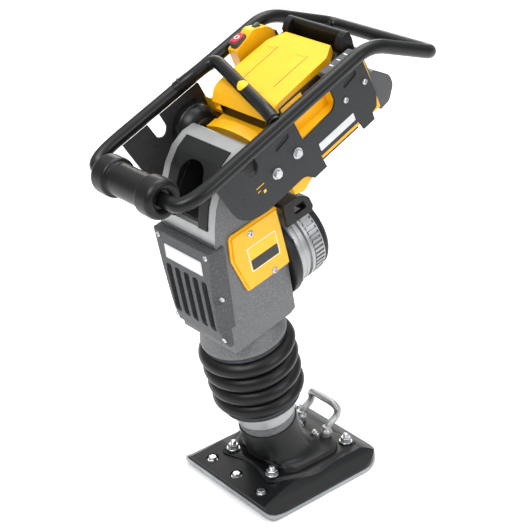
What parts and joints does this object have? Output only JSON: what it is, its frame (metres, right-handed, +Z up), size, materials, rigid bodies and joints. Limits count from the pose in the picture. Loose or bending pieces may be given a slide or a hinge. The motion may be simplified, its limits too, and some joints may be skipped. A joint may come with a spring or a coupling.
{
  "type": "jumping jack rammer",
  "caption": "Battery-driven jumping jack rammer: bent steel shoe, bellowed leg leaning forward, cast crankcase, finned motor, rubber-mounted tube handle, front roller and slide-in battery",
  "frame": {"origin": "centre of the flat of the sole, on the ground", "axes": "+Z up, -Y to the front (roller end), +Y to the rear (grip end), +X to the operator's left"},
  "size_m": [0.3008, 0.6387, 0.9326],
  "materials": {
    "sole_steel": "worn flat steel",
    "shoe_paint": "black powder coat on a casting",
    "machined_steel": "machined steel",
    "dark_steel": "dark oiled steel",
    "cast_grey": "sand-cast alloy, light grey",
    "cast_silver": "bright cast alloy",
    "frame_paint": "black powder coat on tube",
    "plate_paint": "charcoal powder coat on sheet",
    "cover_grey": "fine-grained grey moulding",
    "cover_dark": "dark moulding",
    "smoke_grey": "smoke-grey moulding",
    "yellow": "yellow moulding",
    "red": "red moulded button",
    "rubber": "matt black rubber",
    "copper": "wound copper",
    "bronze": "turned bronze"
  },
  "bodies": {
    "foot": {"sole_plate": "sole_steel", "shoe_body": "shoe_paint", "foot_casting": "shoe_paint", "foot_handle": "cast_grey", "shoe_nut_front_right": "machined_steel", "shoe_nut_front_left": "machined_steel", "shoe_nut_rear_right": "machined_steel", "shoe_nut_rear_left": "machined_steel", "toe_bolt_right": "dark_steel", "toe_bolt_middle": "dark_steel", "toe_bolt_left": "dark_steel", "leg_tube": "cast_grey", "leg_collar": "cast_silver", "gland_cap": "bronze", "ram_spring_lower": "dark_steel", "ram_spring_upper": "dark_steel", "bellows": "rubber", "bellows_clamp_lower": "dark_steel"},
    "ram": {"ram_rod": "machined_steel"},
    "engine": {"crankcase": "cast_grey", "front_cover": "cover_grey", "head_insert": "cover_dark", "side_cover_left": "yellow", "side_cover_right": "yellow", "case_neck": "cast_silver", "bellows_clamp_upper": "dark_steel", "guide_sleeve": "machined_steel", "motor_flange": "cover_dark", "motor_housing": "cast_silver", "motor_end_cap": "cover_dark", "motor_stator": "copper", "motor_bearing": "machined_steel", "cable_guard": "cover_dark"},
    "crank": {"crank_gear": "dark_steel"},
    "rotor": {"motor_rotor": "machined_steel"},
    "rod": {"connecting_rod": "cast_grey", "wrist_pin": "machined_steel"},
    "handle": {"frame_tube_left": "frame_paint", "frame_tube_right": "frame_paint", "grip_bar": "frame_paint", "lifting_bar": "frame_paint", "side_plate_left": "plate_paint", "side_plate_right": "plate_paint", "inner_housing": "yellow", "controller_box": "cover_dark", "lower_rail": "frame_paint", "rear_cover": "smoke_grey", "control_box": "yellow", "battery_gauge": "cover_grey", "roller_axle": "machined_steel", "rubber_mount_left": "rubber", "rubber_mount_right": "rubber", "mount_bolt_left": "machined_steel", "mount_bolt_right": "machined_steel"},
    "roller": {"front_roller": "rubber"},
    "battery": {"battery_cap": "yellow", "battery_base": "cover_dark"},
    "stop_key": {"stop_button": "red"},
    "start_key": {"start_button": "cover_grey"}
  },
  "joints": [
    {"name": "stroke", "type": "slide", "parent": "foot", "child": "engine", "axis": [0, -0.2672, 0.9636], "range_m": [-0.022, 0.035], "stiffness_N_per_m": 60000, "springref_m": 0.008, "deforming": ["bellows"]},
    {"name": "ram_slide", "type": "slide", "parent": "foot", "child": "ram", "axis": [0, -0.2672, 0.9636], "range_m": [-0.012, 0.012], "stiffness_N_per_m": 40000, "springref_m": 0.0005, "deforming": ["ram_spring_lower", "ram_spring_upper"]},
    {"name": "crank_spin", "type": "hinge", "parent": "engine", "child": "crank", "pos_m": [0, -0.13579, 0.57441], "axis": [0, 0.9636, 0.2672], "continuous": true},
    {"name": "rotor_spin", "type": "hinge", "parent": "engine", "child": "rotor", "pos_m": [0, -0.05659, 0.51336], "axis": [0, 0.9636, 0.2672], "continuous": true},
    {"name": "rod_swing", "type": "hinge", "parent": "crank", "child": "rod", "pos_m": [0, -0.17914, 0.58107], "axis": [0, 0.9636, 0.2672], "continuous": true},
    {"name": "handle_rock", "type": "hinge", "parent": "engine", "child": "handle", "pos_m": [0, -0.14743, 0.73342], "axis": [1, 0, 0], "range_deg": [-4, 4], "stiffness_Nm_per_rad": 2500, "springref_deg": 0.57},
    {"name": "roller_spin", "type": "hinge", "parent": "handle", "child": "roller", "pos_m": [0, -0.35515, 0.72593], "axis": [1, 0, 0], "continuous": true},
    {"name": "battery_slide", "type": "slide", "parent": "handle", "child": "battery", "axis": [0, 0.9041, 0.4274], "range_m": [0, 0.19]},
    {"name": "stop_press", "type": "slide", "parent": "handle", "child": "stop_key", "axis": [0, 0.4274, -0.9041], "range_m": [0, 0.004], "stiffness_N_per_m": 900},
    {"name": "start_press", "type": "slide", "parent": "handle", "child": "start_key", "axis": [0, 0.4274, -0.9041], "range_m": [0, 0.004], "stiffness_N_per_m": 900}
  ],
  "couplings": [
    {"joint": "rotor_spin", "follows": "crank_spin", "ratio": -4},
    {"joint": "rod_swing", "follows": "crank_spin", "ratio": -1}
  ]
}
